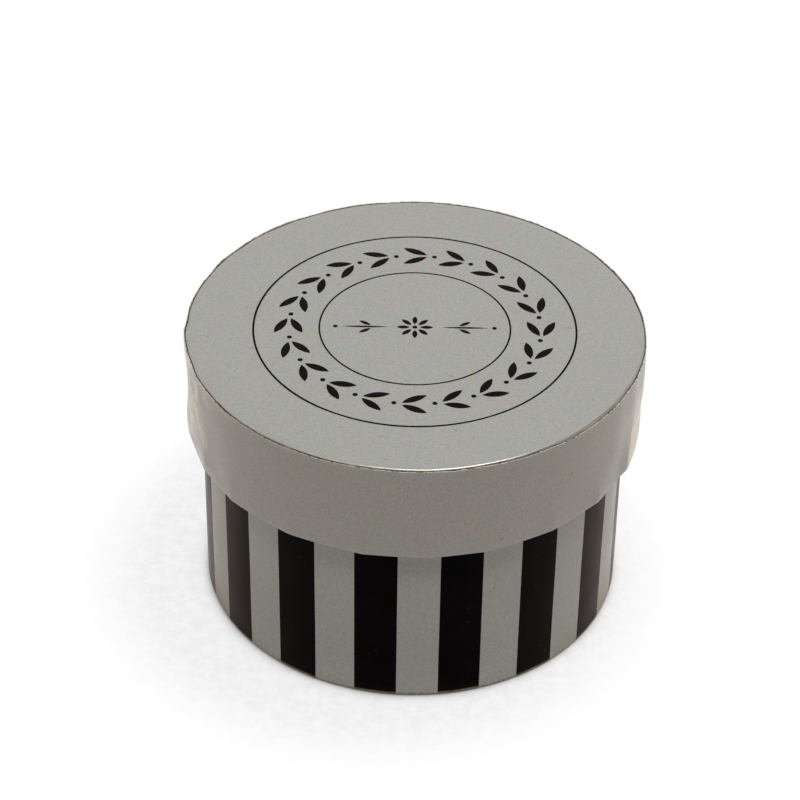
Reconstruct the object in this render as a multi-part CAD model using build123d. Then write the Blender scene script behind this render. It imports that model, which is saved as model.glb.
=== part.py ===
from build123d import *
import os
from dataclasses import dataclass
from math import degrees, radians

# A round rigid gift box: a wrapped board base and a lid whose skirt slides over it.
# Lengths are in millimetres, angles in degrees. The box stands on z = 0 with its axis on Z,
# and the side that faces the viewer is towards -Y.

# Driving sizes of the box
lid_radius = 45.0  # outside of the lid, over its paper
box_height = 59.0  # from the table to the top of the closed lid
skirt_height = 21.0  # from the top of the lid to its lower edge
lid_clearance = 0.65  # between the lid's lining and the wrap of the base

# Materials
wall_board = 1.5  # greyboard of the tube and of the hoop
disc_board = 2.0  # greyboard of the two discs
paper = 0.2  # covering and lining papers, with the glue under them
glue = 0.03  # film of glue between a paper or a disc and its board
ink = 0.05  # depth of the printed areas in the face of the paper
board_edge = 0.3  # rounding of a board's edge under a folded paper

# Wrap of the base
base_turn_in = 12.0  # how far the wrap runs down inside the rim
base_tab_length = 10.0  # of the tabs that are folded under the bottom
base_tab_count = 26
base_notch_width = 1.8  # gap between two tabs at their free end
base_notch_start = 2.6  # from the outside of the tube to the root of a notch
under_paper_margin = 1.0  # ring of folded wrap that shows round the paper under the box
lap_margin = 0.15  # from the edge of a stripe to the seam of the wrap

# Black stripes of the wrap
stripe_count = 16
stripe_share = 0.505  # black part of one black and one silver stripe
first_stripe_angle = -99.35  # centre of the black stripe left of the front
stripe_tail = 0.6  # how far a stripe runs on under the paper beneath the box

# Covering of the lid
rim_drop = 0.15  # from the top of the lid to the cut edge of the side wrap
tab_depth = 8.0  # of the tabs of the top paper under the side wrap
lid_tab_count = 36
lid_notch_width = 0.9
lid_notch_start = 1.4  # from the top of the lid to the root of a notch
lid_turn_in = 10.0  # how far the side wrap runs up inside the skirt
lid_lap = 12.0  # width of the seam of the side wrap
lid_lap_angle = 107.0  # middle of that seam, at the back
lap_ramp = 1.2  # width over which a lap rises from the paper beneath it

# Linings
liner_drop = 5.0  # from the rim of the base to the top of its lining
lid_liner_rise = 3.0  # from the lower edge of the skirt to its lining
step_run = 1.5  # height in which a lining steps down off the end of the turned-in wrap
step_bend = 3.0  # radius of the two bends of such a step
step_gap = 0.4  # from the end of the turned-in wrap to that step
disc_gap = 0.1  # round a paper disc inside the box

# Print on the lid
outer_circle_radius = 31.65
outer_circle_width = 0.41
inner_circle_radius = 18.73
inner_circle_width = 0.35
wreath_radius = 24.75
wreath_leaf_pairs = 20
wreath_leaf_length = 5.3
wreath_leaf_width = 1.65
wreath_leaf_offset = 1.55  # from the middle of the wreath to the middle of a leaf
wreath_leaf_tilt = 27.0
berry_radius = 0.5
rosette_petals = 8
petal_length = 2.6
petal_width = 1.0
petal_radius = 2.3  # from the centre to the middle of a petal
rosette_eye = 0.5
rule_length = 9.2
rule_width = 0.55
rule_place = 9.8  # from the centre to the middle of a rule
sprig_length = 2.7
sprig_width = 0.85
sprig_offset = 1.25  # from the rule to the middle of a sprig
sprig_tilt = 33.0
end_dot_radius = 0.45
end_dot_place = 15.6

# Working values
full_turn = 360.0
quarter_turn = 90.0
back_angle = 90.0
overrun = 0.5  # of a cut past the face that it opens
stripe_pitch = full_turn / stripe_count
stripe_angle = stripe_pitch * stripe_share

# Radii, from the outside of the lid inwards
hoop_outside = lid_radius - paper
hoop_inside = hoop_outside - wall_board
lid_liner_inside = hoop_inside - paper - paper
base_radius = lid_liner_inside - lid_clearance
tube_outside = base_radius - paper
tube_inside = tube_outside - wall_board

# Heights, from the table upwards
board_low = paper + paper
floor_board_top = board_low + disc_board
floor_top = floor_board_top + paper
lid_board_top = box_height - paper
lid_board_low = lid_board_top - disc_board
ceiling = lid_board_low - paper
tube_top = ceiling - paper
skirt_low = box_height - skirt_height
hoop_low = skirt_low + paper
tab_end = box_height - tab_depth
cut_edge = box_height - rim_drop
base_turn_end = ceiling - base_turn_in
lid_turn_end = skirt_low + lid_turn_in
liner_top = ceiling - liner_drop
lid_liner_low = skirt_low + lid_liner_rise


@dataclass
class Corner:
    """A corner of the course that a paper takes over the board beneath it."""

    radius: float
    height: float
    side_out: int = 0  # 1 where the paper lies outside the board, -1 where it lies inside
    side_up: int = 0  # 1 where it lies above the board, -1 where it lies below
    bend: float = 0
    turn: int = 1  # 1 where the paper bends round the board, -1 where it bends off it

    def point(self, lift):
        """The corner at a given lift off the board."""
        return (self.radius + self.side_out * lift, 0, self.height + self.side_up * lift)

    def bend_at(self, lift):
        """The bend's radius at a given lift off the board."""
        return self.bend + self.turn * lift if self.bend else 0


def turned(points, bends, arc=full_turn, start=0):
    """Turn a closed outline of radius and height about the axis of the box."""
    outline = FilletPolyline(*points, radius=bends, close=True)
    return Rot(Z=start) * revolve(make_face(outline.edges()), Axis.Z, arc)


def folded_paper(course, low, high, arc=full_turn, start=0):
    """The layer between two lifts off a course, turned about the axis."""
    back = list(reversed(course))
    points = [corner.point(low) for corner in course] + [corner.point(high) for corner in back]
    bends = [corner.bend_at(low) for corner in course] + [corner.bend_at(high) for corner in back]
    return turned(points, bends, arc, start)


def disc(radius, low, high):
    """A flat round sheet between two heights."""
    return Pos(0, 0, low) * extrude(Circle(radius), high - low)


def lap(radius, width, middle_angle, low, high):
    """The seam of a wrap: its end lies on its start, and rises from it over a short ramp."""
    end = middle_angle + degrees(width / radius) / 2
    start = middle_angle - degrees(width / radius) / 2
    ramp_end = start + degrees(lap_ramp / radius)
    under = CenterArc((0, 0), radius, start, end - start)
    over = CenterArc((0, 0), radius + paper, ramp_end, end - ramp_end)
    section = make_face([under, over, Line(under @ 0, over @ 0), Line(under @ 1, over @ 1)])
    return Pos(0, 0, low) * extrude(section, high - low)


def notches(count, notch):
    """Copies of one notch, evenly round the box."""
    return [Rot(Z=full_turn * number / count) * notch for number in range(count)]


def base_wrap_course(tab_start):
    """From the tabs under the bottom, up the wall, over the rim and down inside."""
    return [
        Corner(tab_start, board_low, side_up=-1),
        Corner(tube_outside, board_low, 1, -1, board_edge),
        Corner(tube_outside, tube_top, 1, 1, board_edge),
        Corner(tube_inside, tube_top, -1, 1, board_edge),
        Corner(tube_inside, base_turn_end, side_out=-1),
    ]


def make_base_tube():
    """Wound greyboard tube, its edges a little rounded where the wrap folds over them."""
    points = [
        (tube_inside, 0, board_low),
        (tube_outside, 0, board_low),
        (tube_outside, 0, tube_top),
        (tube_inside, 0, tube_top),
    ]
    return turned(points, [0, board_edge, board_edge, board_edge])


def make_base_board_disc():
    """Greyboard disc pressed into the lower end of the tube."""
    return disc(tube_inside - glue, board_low, floor_board_top)


def make_stripe():
    """Black ink over one stretch of the wrap, round its folds, with its middle at angle zero."""
    course = base_wrap_course(tube_outside - under_paper_margin - stripe_tail)
    return folded_paper(course, paper - ink, paper, stripe_angle, -stripe_angle / 2)


def at_each_stripe(shape):
    """A copy of a shape at the middle of each stripe."""
    angles = [first_stripe_angle + stripe_pitch * number for number in range(stripe_count)]
    return [Rot(Z=angle) * shape for angle in angles]


def make_base_stripes():
    """The black stripes, each a separate printed area."""
    return at_each_stripe(make_stripe())


def make_base_wrap():
    """Silver paper round the tube, with its tabs, its seam and the beds of the stripes."""
    tab_start = tube_outside - base_tab_length
    paper_strip = folded_paper(base_wrap_course(tab_start), glue, paper, stripe_pitch, -stripe_pitch / 2)
    strips = at_each_stripe(paper_strip - make_stripe())
    wrap = strips[0] + strips[1:]
    root = (tube_outside - base_notch_start, 0)
    tip = tab_start - overrun
    mouth = base_notch_width / 2
    triangle = make_face(Polyline(root, (tip, mouth), (tip, -mouth), close=True))
    notch = Pos(0, 0, -overrun) * extrude(triangle, board_low + overrun)
    silver_width = base_radius * radians(stripe_pitch - stripe_angle)
    stripes_to_back = round((back_angle - first_stripe_angle) / stripe_pitch)
    seam_angle = first_stripe_angle + stripe_pitch * (stripes_to_back + 0.5)
    low = board_low + board_edge
    seam = lap(base_radius, silver_width - 2 * lap_margin, seam_angle, low, tube_top - board_edge)
    return wrap - notches(base_tab_count, notch) + seam


def make_base_under_paper():
    """Paper disc that covers the tabs and stands on the table."""
    return disc(tube_outside - under_paper_margin, 0, paper)


def make_base_inner_liner():
    """Lining of the wall, which steps inwards over the end of the turned-in wrap."""
    step_high = base_turn_end - step_gap
    return folded_paper(
        [
            Corner(tube_inside, floor_top, side_out=-1),
            Corner(tube_inside, step_high - step_run, side_out=-1, bend=step_bend, turn=-1),
            Corner(tube_inside - paper, step_high, side_out=-1, bend=step_bend),
            Corner(tube_inside - paper, liner_top, side_out=-1),
        ],
        glue,
        paper,
    )


def make_base_floor_paper():
    """Paper disc on the floor of the base."""
    return disc(tube_inside - disc_gap, floor_board_top + glue, floor_top)


def make_lid_hoop():
    """Greyboard hoop of the skirt. Its top is pressed in where the tabs of the top paper lie."""
    pressed_in = hoop_outside - paper
    points = [
        (hoop_inside, 0, hoop_low),
        (hoop_outside, 0, hoop_low),
        (hoop_outside, 0, tab_end),
        (pressed_in, 0, tab_end),
        (pressed_in, 0, lid_board_top),
        (hoop_inside, 0, lid_board_top),
    ]
    return turned(points, [board_edge, board_edge, 0, 0, board_edge, 0])


def make_lid_board_disc():
    """Greyboard disc pressed into the top of the hoop."""
    return disc(hoop_inside - glue, lid_board_low, lid_board_top)


def make_lid_side_wrap():
    """Silver paper round the skirt, cut off below the rim and turned in under the lower edge."""
    wrap = folded_paper(
        [
            Corner(hoop_outside, cut_edge, side_out=1),
            Corner(hoop_outside, hoop_low, 1, -1, board_edge),
            Corner(hoop_inside, hoop_low, -1, -1, board_edge),
            Corner(hoop_inside, lid_turn_end, side_out=-1),
        ],
        glue,
        paper,
    )
    return wrap + lap(lid_radius, lid_lap, lid_lap_angle, hoop_low + board_edge, cut_edge)


def make_lid_top_paper(print_areas):
    """Silver paper on the lid, folded down over the edge in tabs, with the beds of the print."""
    pressed_in = hoop_outside - paper
    sheet = folded_paper(
        [
            Corner(0, lid_board_top, side_up=1),
            Corner(pressed_in, lid_board_top, 1, 1, board_edge),
            Corner(pressed_in, tab_end, side_out=1),
        ],
        glue,
        paper,
    )
    root = (0, box_height - lid_notch_start)
    tip = tab_end - overrun
    mouth = lid_notch_width / 2
    outside = Plane(origin=(hoop_outside + overrun, 0, 0), x_dir=(0, 1, 0), z_dir=(1, 0, 0))
    triangle = make_face(Polyline(root, (mouth, tip), (-mouth, tip), close=True))
    notch = extrude(outside * triangle, -paper - 2 * overrun)
    return sheet - notches(lid_tab_count, notch) - print_areas


def leaf(length, width):
    """A pointed leaf between two equal arcs, lying along X with its middle at the origin."""
    tips = ((-length / 2, 0), (length / 2, 0))
    back = ThreePointArc(tips[0], (0, width / 2), tips[1])
    front = ThreePointArc(tips[0], (0, -width / 2), tips[1])
    return make_face([back, front])


def circle_line(radius, width):
    """A printed circle of a given line width."""
    return Circle(radius + width / 2) - Circle(radius - width / 2)


def wreath():
    """Pairs of leaves that follow each other round a circle, with a berry in each fork."""
    areas = []
    for number in range(wreath_leaf_pairs):
        place = Rot(Z=full_turn * number / wreath_leaf_pairs)
        for side in (1, -1):
            middle = Pos(wreath_radius + side * wreath_leaf_offset, 0)
            tilt = Rot(Z=quarter_turn - side * wreath_leaf_tilt)
            areas.append(place * middle * tilt * leaf(wreath_leaf_length, wreath_leaf_width))
        between = Rot(Z=full_turn * (number + 0.5) / wreath_leaf_pairs)
        areas.append(between * Pos(wreath_radius, 0) * Circle(berry_radius))
    return areas


def rosette():
    """Petals round an eye at the middle of the lid."""
    petal = Pos(petal_radius, 0) * leaf(petal_length, petal_width)
    petals = [Rot(Z=full_turn * number / rosette_petals) * petal for number in range(rosette_petals)]
    return petals + [Circle(rosette_eye)]


def side_rules():
    """On each side of the rosette: a tapered rule between two sprigs, and a dot beyond it."""
    areas = []
    for side in (1, -1):
        middle = Pos(side * rule_place, 0)
        areas.append(middle * leaf(rule_length, rule_width))
        for face in (1, -1):
            lean = Rot(Z=side * face * sprig_tilt)
            areas.append(middle * Pos(0, face * sprig_offset) * lean * leaf(sprig_length, sprig_width))
        areas.append(Pos(side * end_dot_place, 0) * Circle(end_dot_radius))
    return areas


def make_lid_print():
    """Dark print on the lid: two plain circles, a wreath of leaves and a ruled rosette."""
    circles = [
        circle_line(outer_circle_radius, outer_circle_width),
        circle_line(inner_circle_radius, inner_circle_width),
    ]
    areas = circles + wreath() + rosette() + side_rules()
    return [Pos(0, 0, box_height - ink) * extrude(area, ink) for area in areas]


def make_lid_inner_liner():
    """Lining of the skirt, which steps inwards over the end of the turned-in wrap."""
    step_low = lid_turn_end + step_gap
    return folded_paper(
        [
            Corner(hoop_inside - paper, lid_liner_low, side_out=-1),
            Corner(hoop_inside - paper, step_low, side_out=-1, bend=step_bend),
            Corner(hoop_inside, step_low + step_run, side_out=-1, bend=step_bend, turn=-1),
            Corner(hoop_inside, ceiling, side_out=-1),
        ],
        glue,
        paper,
    )


def make_lid_ceiling_paper():
    """Paper disc under the top of the lid, which rests on the rim of the base."""
    return disc(hoop_inside - disc_gap, ceiling, lid_board_low - glue)


def solids_of(shape):
    """All the solids of a shape or of a list of shapes."""
    shapes = shape if isinstance(shape, list) else [shape]
    return [solid for each in shapes for solid in each.solids()]


def main():
    """Make every piece and write each to its own file."""
    lid_print = make_lid_print()
    nodes = {
        "base_tube": make_base_tube(),
        "base_board_disc": make_base_board_disc(),
        "base_wrap": make_base_wrap(),
        "base_stripes": make_base_stripes(),
        "base_under_paper": make_base_under_paper(),
        "base_inner_liner": make_base_inner_liner(),
        "base_floor_paper": make_base_floor_paper(),
        "lid_hoop": make_lid_hoop(),
        "lid_board_disc": make_lid_board_disc(),
        "lid_side_wrap": make_lid_side_wrap(),
        "lid_top_paper": make_lid_top_paper(lid_print),
        "lid_print": lid_print,
        "lid_inner_liner": make_lid_inner_liner(),
        "lid_ceiling_paper": make_lid_ceiling_paper(),
    }
    os.makedirs("parts", exist_ok=True)
    for name, shape in nodes.items():
        export_step(Compound(solids_of(shape)), f"parts/{name}.step")


main()
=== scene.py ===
"""A round rigid gift box in silver paper, with black stripes round the base and a printed lid.

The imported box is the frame. This dresses it: the papers that show are made again as folded sheets
with the unevenness of real glued paper, the boards and linings keep their solids and get their
finishes, and a small studio is set up for a picture from the front. Lengths are in metres.
"""

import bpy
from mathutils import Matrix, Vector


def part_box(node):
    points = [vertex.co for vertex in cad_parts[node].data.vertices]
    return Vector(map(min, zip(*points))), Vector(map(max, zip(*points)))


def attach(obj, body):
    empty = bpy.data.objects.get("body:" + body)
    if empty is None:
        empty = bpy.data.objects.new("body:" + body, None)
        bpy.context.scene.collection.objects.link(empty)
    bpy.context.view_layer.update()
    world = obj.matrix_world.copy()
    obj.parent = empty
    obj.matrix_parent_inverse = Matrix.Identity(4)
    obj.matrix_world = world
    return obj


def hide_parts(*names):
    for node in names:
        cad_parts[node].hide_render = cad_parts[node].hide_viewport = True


bl_info = {
    "name": "Round Gift Box",
    "version": (1, 0, 0),
    "blender": (4, 5, 0),
    "location": "View3D > Sidebar > Gift Box",
    "description": "Dresses a round board box with its papers, print and studio",
    "category": "Add Mesh",
}

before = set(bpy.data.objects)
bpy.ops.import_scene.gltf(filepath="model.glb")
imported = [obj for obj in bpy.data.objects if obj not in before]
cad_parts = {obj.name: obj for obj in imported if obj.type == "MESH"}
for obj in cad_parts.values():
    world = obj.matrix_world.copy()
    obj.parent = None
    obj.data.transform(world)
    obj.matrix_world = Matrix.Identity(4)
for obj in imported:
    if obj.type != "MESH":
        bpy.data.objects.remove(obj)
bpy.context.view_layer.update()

from math import atan, cos, pi, radians, sin, tau

import bmesh
import bpy
import numpy as np
from bpy.props import FloatProperty, FloatVectorProperty, IntProperty, PointerProperty
from mathutils import Matrix, Vector

MM = 0.001

# The picture
PICTURE_WIDTH = 800  # pixels of the square picture
FOCAL_LENGTH = 2640.2  # of the camera, in such pixels
LID_CENTRE = (414.9, 327.1)  # pixel at which the middle of the lid's top shows, from the upper left

# Films and inks
GLUE = 0.03 * MM  # film between a paper and its board
INK = 0.05 * MM  # depth of the stripes in their paper
PRINT_RISE = 0.012 * MM  # print stands this little above its paper, so that the two faces never meet
SEAM_RISE = 0.004 * MM  # the same for the start of a seam
SEAM_SINK = 0.03 * MM  # the underside of a seam lies this deep in the paper beneath it

# Tabs, turned-in edges and seams of the papers
LID_TAB_COUNT = 36
LID_TAB_DEPTH, LID_SLIT_START = 8 * MM, 1.4 * MM  # from the top of the lid
LID_SLIT_WIDTH = 0.9 * MM  # at its open end
LID_TURN_IN = 10 * MM
LID_LAP = 12 * MM
LID_LAP_ANGLE = 107  # in degrees from +X, at the back
BASE_TAB_COUNT = 26
BASE_TAB_LENGTH = 10 * MM
BASE_SLIT_START = 2.6 * MM  # from the outside of the tube
BASE_SLIT_WIDTH = 1.7 * MM
BASE_TURN_IN = 12 * MM
BLUNT_END = 0.2 * MM  # from the start of a slit to the first row of cells that it opens
LAP_RAMP = 1.2 * MM  # over which a seam rises from the paper beneath it
LAP_MARGIN = 0.15 * MM  # from the base's seam to the stripes beside it
STRIPE_TAIL = 1.6 * MM  # how far a stripe runs on under the box

# Fineness of the meshes
ARC_STEPS = 8  # straight parts in a quarter turn of folded paper
LID_TOP_ROWS = 1.3 * MM  # from row to row
LID_SIDE_ROWS = 1.25 * MM
LID_LAP_ROWS = MM
BASE_ROWS = 2 * MM
CUT_EDGE_ROWS = (0.45, 0.3, 0.2, 0.12, 0.06)  # millimetres below the cut edge, to carry its fraying
FOLD_ROWS = (0.15, 0.35)  # millimetres over the base's lower fold, to carry its rub marks
LID_COLUMNS = 900
PER_LID_TAB = 20
PER_BASE_TAB = 24
PER_STRIPE = 13
MERGED = 0.0005 * MM  # points closer than this become one
SHARP_ANGLE = 40  # in degrees, from which an edge isn't smoothed

# Waves of the papers: a seed, and the shortest wave
DISH_WAVES = (3, 26 * MM)
RIM_WAVES = (5, 9 * MM)
LID_WAVES = (7, 12 * MM)
HANDLED_WAVES = (8, 7 * MM)
BASE_WAVES = (21, 14 * MM)
GAP_WAVES = (43, 10 * MM)

# Fine noises round the box: a seed, and how many neighbours are summed
CREVICE_SHADE_NOISE = (31, 5)
CUT_NOISE = (41, 2)
SLOW_CUT_NOISE = (42, 9)
FRAY_NOISE = (44, 4)
CHAFED_NOISE = (51, 5)
CHAFED_INK_NOISE = (52, 5)

# Places round the lid: a direction in degrees from +X, and a reach in degrees
LOW_CUT = (-40, 22)  # its side paper is cut a little lower
LOOSE = (-3, 25)  # its side paper has come off the board
SHEEN_PATCHES = (192, 15)  # painted sheen in patches, where its side paper turns away
BROWNED = (-135, 30)  # its cut edge is brown
TIGHT_LEFT, TIGHT_RIGHT = (180, 25), (0, 20)  # its cut edge stands off less
LESS_SHADE_LEFT, LESS_SHADE_RIGHT = (180, 30), (5, 20)  # the painted shade in the crevice is weaker

# Places round the base
SHADE_FRONT = (-90, 25)  # more painted shade under the skirt
SHADE_LEFT, SHADE_RIGHT = (187, 20), (-5, 18)  # painted shade from top to bottom, where the base turns away

# Wear, painted shade and painted sheen of the lid
LID_DISH = 0.03 * MM  # how far its flat paper sinks into the board
LOW_CUT_DEPTH = 0.45 * MM
LOW_CUT_EASE = 1.2 * MM  # from the cut edge down, over which the paper is lower too
LOOSE_EDGE = 0.5 * MM  # from the cut edge down, over which the paper stands off
FRAYED, FRAY_SPREAD = 0.04 * MM, 0.03 * MM  # how far down the cut edge is raw
CREVICE_SHADE_EASE = 0.05 * MM  # over which the painted shade in the crevice comes in
CREASED = 5 * MM  # how far up the creases of the folded edge reach
# Degrees from the front at which its side paper creased as it was folded under the lid
FOLD_CREASES = (-64, -50, -31, -12, 4, 18, 36, 52, 67, 97)
FOLD_CREASES += (114, 131, 148, 166, 184, 202, 219, 237, 254, 275)
# The band of painted sheen at its right, where the side turns away: millimetres below the top, and
# the degrees from +X at which it starts there and at which it ends
BAND_DOWN = (0, 3.7, 8, 14, 21)
BAND_STARTS = (-6, -10, -18, -21, -24)
BAND_END = 9

# Wear and painted shade of the base
CHAFED_HEIGHT, CHAFED_REACH = 0.62 * MM, 0.2 * MM  # the brown ring at its lower fold
SHADE_DOWN, SHADE_REACH = 4.3 * MM, 3.2 * MM  # the ring of painted shade, below the skirt's edge
POLISHED = 13 * MM  # up to which hands have polished it

# The studio, in metres: the floor, and each lamp's name, place, side and tint
FLOOR_WIDTH = 3.2
LAMPS = (
    ("top_lamp", (0.075, 0.02, 0.56), 0.25, "#ffffff"),
    ("left_lamp", (-0.7, 0.1, 0.3), 0.5, "#ffe4c8"),
    ("right_lamp", (0.7, 0.1, 0.3), 0.5, "#ffe4c8"),
)


def linear(hex_colour):
    """The linear colour of an sRGB hex value: each part above 0.04045 is raised to the power 2.4."""
    parts = np.array([int(hex_colour[k : k + 2], 16) for k in (1, 3, 5)]) / 255
    bent = np.where(parts > 0.04045, ((parts + 0.055) / 1.055) ** 2.4, parts / 12.92)
    return (*bent.tolist(), 1.0)


# Settings that a user would change


def length(name, description, default):
    """A length in metres that the sidebar shows in the scene's units."""
    return FloatProperty(
        name=name, description=description, default=default, min=0, unit="LENGTH", precision=5
    )


def angle_of(name, description, default):
    """An angle in radians that the sidebar shows in degrees."""
    return FloatProperty(name=name, description=description, default=default, subtype="ANGLE")


def power_of(name, description, default):
    """The power of a lamp in watts."""
    return FloatProperty(name=name, description=description, default=default, min=0, unit="POWER")


def colour(name, description, hex_colour):
    """A colour that the sidebar shows as a swatch."""
    tint = linear(hex_colour)
    return FloatVectorProperty(
        name=name, description=description, default=tint, size=4, min=0, max=1, subtype="COLOR"
    )


class GiftBoxSizes(bpy.types.PropertyGroup):
    """Sizes of the papers that are made again over the boards."""

    lid_radius: length("Lid radius", "Outside of the lid, over its paper", -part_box("lid_side_wrap")[0].y)
    base_radius: length("Base radius", "Outside of the base, over its paper", -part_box("base_wrap")[0].y)
    height: length("Height", "Top of the closed lid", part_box("lid_top_paper")[1].z)
    skirt_low: length("Skirt edge", "Lower edge of the lid's skirt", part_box("lid_side_wrap")[0].z)
    wall: length("Wall board", "Greyboard of the tube and of the hoop", 1.5 * MM)
    paper: length("Paper", "Covering paper with the glue under it", 0.2 * MM)
    board_edge: length("Board edge", "Rounding of a board under a fold", 0.3 * MM)
    cut_edge: length("Cut edge", "Where the side paper is cut off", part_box("lid_side_wrap")[1].z)
    ragged: length("Ragged edge", "How unevenly that edge is cut", 0.035 * MM)
    edge_gap: length("Edge gap", "How far that edge stands off the lid at most", 0.26 * MM)
    swell: length("Swell", "Unevenness of the glued side papers", 0.035 * MM)
    crease: length("Creases", "How flat the folded edge lies between its creases", 0.4 * MM)
    bulge: length("Bulge", "How far the side paper has come off the board at the right", 0.3 * MM)
    rim_wave: length("Rim wave", "How unevenly the top paper is folded over the rim", 0.035 * MM)
    stripe_count: IntProperty(name="Stripes", description="Black stripes", default=16, min=3, max=60)
    stripe_share: FloatProperty(
        name="Stripe share", description="Black part of the pattern", default=0.505, min=0.1, max=0.9
    )
    first_stripe: angle_of("First stripe", "Middle of the black stripe left of the front", radians(-99.35))


class GiftBoxColours(bpy.types.PropertyGroup):
    """Colours of the papers, inks and boards."""

    silver: colour("Silver", "Metallic ink on the top of the lid", "#9f9f99")
    # A warmer run of the silver ink, and darker than the top's: the darker tone is painted shade on the
    # upright side.
    side_silver_shaded: colour("Side silver", "Metallic ink round the lid, a warmer run", "#948f88")
    # Darker than the top's silver: painted shade on the upright wall.
    base_silver_shaded: colour("Base silver", "Metallic ink round the base", "#95958f")
    black: colour("Black", "Ink of the stripes", "#040304")
    lid_ink: colour("Lid ink", "Fine print on the lid", "#120f0e")
    # The raw paper colour also gives the cream patches of painted sheen on the lid's sides.
    raw_paper: colour("Raw paper", "Cut edge and rubbed places of the covering paper", "#cdc1a8")
    lining: colour("Lining", "Paper inside the box", "#f0eee8")
    greyboard: colour("Greyboard", "Board inside the walls", "#8f857a")
    floor: colour("Floor", "Paper sweep under the box", "#f9f9f9")


class GiftBoxStudio(bpy.types.PropertyGroup):
    """Camera and light."""

    view_distance: length("Distance", "From the camera to the plane through the lid's top", 517.3 * MM)
    view_height: angle_of("View height", "Angle the camera looks down", 0.6523)
    view_roll: angle_of("Roll", "Lean of the camera", 0.0143)
    view_angle: angle_of("View angle", "Across the picture", 2 * atan(PICTURE_WIDTH / 2 / FOCAL_LENGTH))
    top_lamp: power_of("Top lamp", "Power overhead", 1.7)
    left_lamp: power_of("Left lamp", "Power at the left", 0.46)
    right_lamp: power_of("Right lamp", "Power at the right", 0.5)
    room: FloatProperty(name="Room light", description="Light of the white room", default=0.35, min=0, max=2)


def scene_sizes():
    """The sizes set in the sidebar."""
    return bpy.context.scene.gift_box_sizes


def scene_colours():
    """The colours set in the sidebar."""
    return bpy.context.scene.gift_box_colours


def in_scene(name, data):
    """A new object in the scene, of a mesh, a lamp or a camera."""
    thing = bpy.data.objects.new(name, data)
    bpy.context.scene.collection.objects.link(thing)
    return thing


# Shapes of paper


def folded_course(corners, bends, spacing):
    """The line that a paper follows over a board, in the plane of radius and height.

    It runs straight from corner to corner. An arc of the bend's radius takes the place of each
    corner and starts short of it by that radius times the tangent of half the turn. The directions
    point away from the board, to the right of the way the line runs.
    """
    corners = np.array(corners, float)
    bends = np.array(bends, float)
    runs = np.diff(corners, axis=0)
    heads = runs / np.linalg.norm(runs, axis=1)[:, None]
    ways = np.unwrap(np.arctan2(heads[:, 1], heads[:, 0]))
    turns = np.diff(ways)
    cuts = bends * np.tan(np.abs(turns) / 2)
    starts = corners[:-1] + heads * np.append(0, cuts)[:, None]
    stops = corners[1:] - heads * np.append(cuts, 0)[:, None]
    points, directions = [], []
    for k, way in enumerate(ways):
        steps = max(1, round(np.linalg.norm(stops[k] - starts[k]) / spacing))
        share = np.linspace(0, 1, steps + 1)[:, None]
        points.append(starts[k] * (1 - share) + stops[k] * share)
        directions.append(np.full(steps + 1, way))
        if k < len(turns):
            part = way + turns[k] * np.arange(1, ARC_STEPS) / ARC_STEPS
            arm = np.sign(turns[k]) * bends[k]
            centre = stops[k] + arm * np.array([-sin(way), cos(way)])
            points.append(centre - arm * np.stack([-np.sin(part), np.cos(part)], axis=1))
            directions.append(part)
    way = np.concatenate(directions)
    return np.concatenate(points), np.stack([np.sin(way), -np.cos(way)], axis=1)


def round_the_axis(course, away, lift, angle, rise=0, drop=0):
    """A line of radius and height turned about the axis, lifted off its board.

    Radius = course + away * lift + rise, height = course + away * lift + drop; the point is that
    radius along the cosine and sine of its angle. Rows follow the line, columns the angle.
    """
    radius = course[:, :1] + away[:, :1] * lift + rise
    height = course[:, 1:] + away[:, 1:] * lift + drop
    radius, height, angle = np.broadcast_arrays(radius, height, angle)
    return np.stack([radius * np.cos(angle), radius * np.sin(angle), height], axis=-1)


def sheet_faces(kept, columns, closed):
    """Faces of a sheet with an outer and an inner layer, each a grid, as rows of four numbers.

    Every kept cell gives a face of each layer, and every side of it with no kept cell beyond it
    gives a wall between the layers, so the sheet is closed round holes, slits and edges.
    """
    rows = kept.shape[0] + 1
    row, column = np.nonzero(kept)
    here, beyond = row * columns, (row + 1) * columns
    after = (column + 1) % columns
    corners = np.stack([here + column, here + after, beyond + after, beyond + column], axis=1)
    inner = rows * columns
    faces = [corners, corners[:, ::-1] + inner]
    bordered = np.zeros((kept.shape[0] + 2, kept.shape[1] + 2), bool)
    bordered[1:-1, 1:-1] = kept
    if closed:
        bordered[1:-1, 0] = kept[:, -1]
        bordered[1:-1, -1] = kept[:, 0]
    for side, (down, across) in enumerate(((-1, 0), (0, 1), (1, 0), (0, -1))):
        open_side = ~bordered[row + 1 + down, column + 1 + across]
        start = corners[open_side, side]
        stop = corners[open_side, (side + 1) % 4]
        faces.append(np.stack([stop, start, start + inner, stop + inner], axis=1))
    return np.concatenate(faces)


def sheet(outer, inner, kept=None, closed=True):
    """Points and faces of a sheet between two grids of points of the same size."""
    rows, columns = outer.shape[:2]
    if kept is None:
        kept = np.ones((rows - 1, columns if closed else columns - 1), bool)
    points = np.concatenate([outer.reshape(-1, 3), inner.reshape(-1, 3)])
    return points, sheet_faces(kept, columns, closed)


def marks_on(marks, *seams):
    """Each mark on the outer and the inner layer of a sheet, and none of it on both layers of a seam."""
    quiet = [np.zeros(layer.size // 3) for seam in seams for layer in seam]
    return {name: np.concatenate([mark.ravel(), mark.ravel(), *quiet]) for name, mark in marks.items()}


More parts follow.
